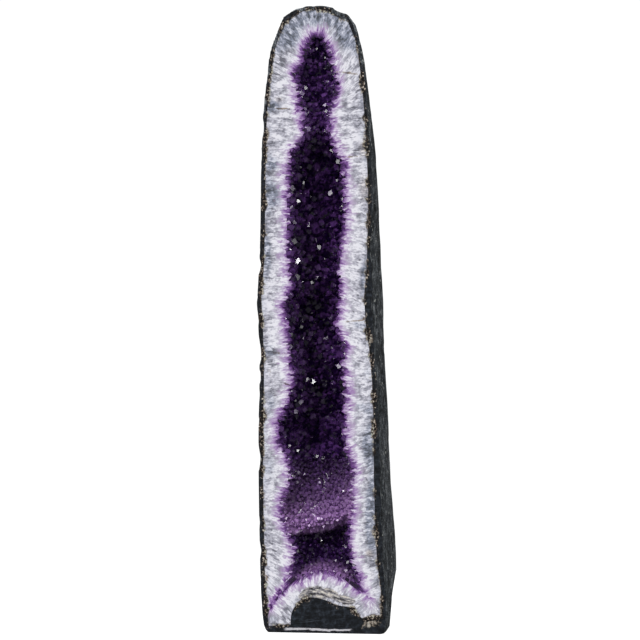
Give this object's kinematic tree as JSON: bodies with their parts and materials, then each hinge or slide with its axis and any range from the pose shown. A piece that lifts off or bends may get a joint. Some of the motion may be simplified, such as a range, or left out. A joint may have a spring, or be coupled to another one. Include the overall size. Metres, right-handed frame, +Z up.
{
  "type": "amethyst cathedral geode",
  "caption": "Tall standing half of a geode, sawn open along its length: dark basalt rind, white quartz wall and a deep narrow hollow lined with purple amethyst crystals.",
  "frame": {"origin": "bottom centre of the bounding box, on the plane of the flat sawn base", "axes": "+Z up along the length; -Y out of the sawn, polished face with the hollow; +X to the right of a viewer who faces it"},
  "size_m": [0.2658, 0.1992, 1.202],
  "materials": {
    "basalt": "rough broken rock",
    "quartz": "sawn and polished face",
    "amethyst": "glossy natural crystal faces"
  },
  "bodies": {
    "root": {"basalt_rind": "basalt", "quartz_wall": "quartz", "amethyst_crust": "amethyst"}
  },
  "joints": []
}
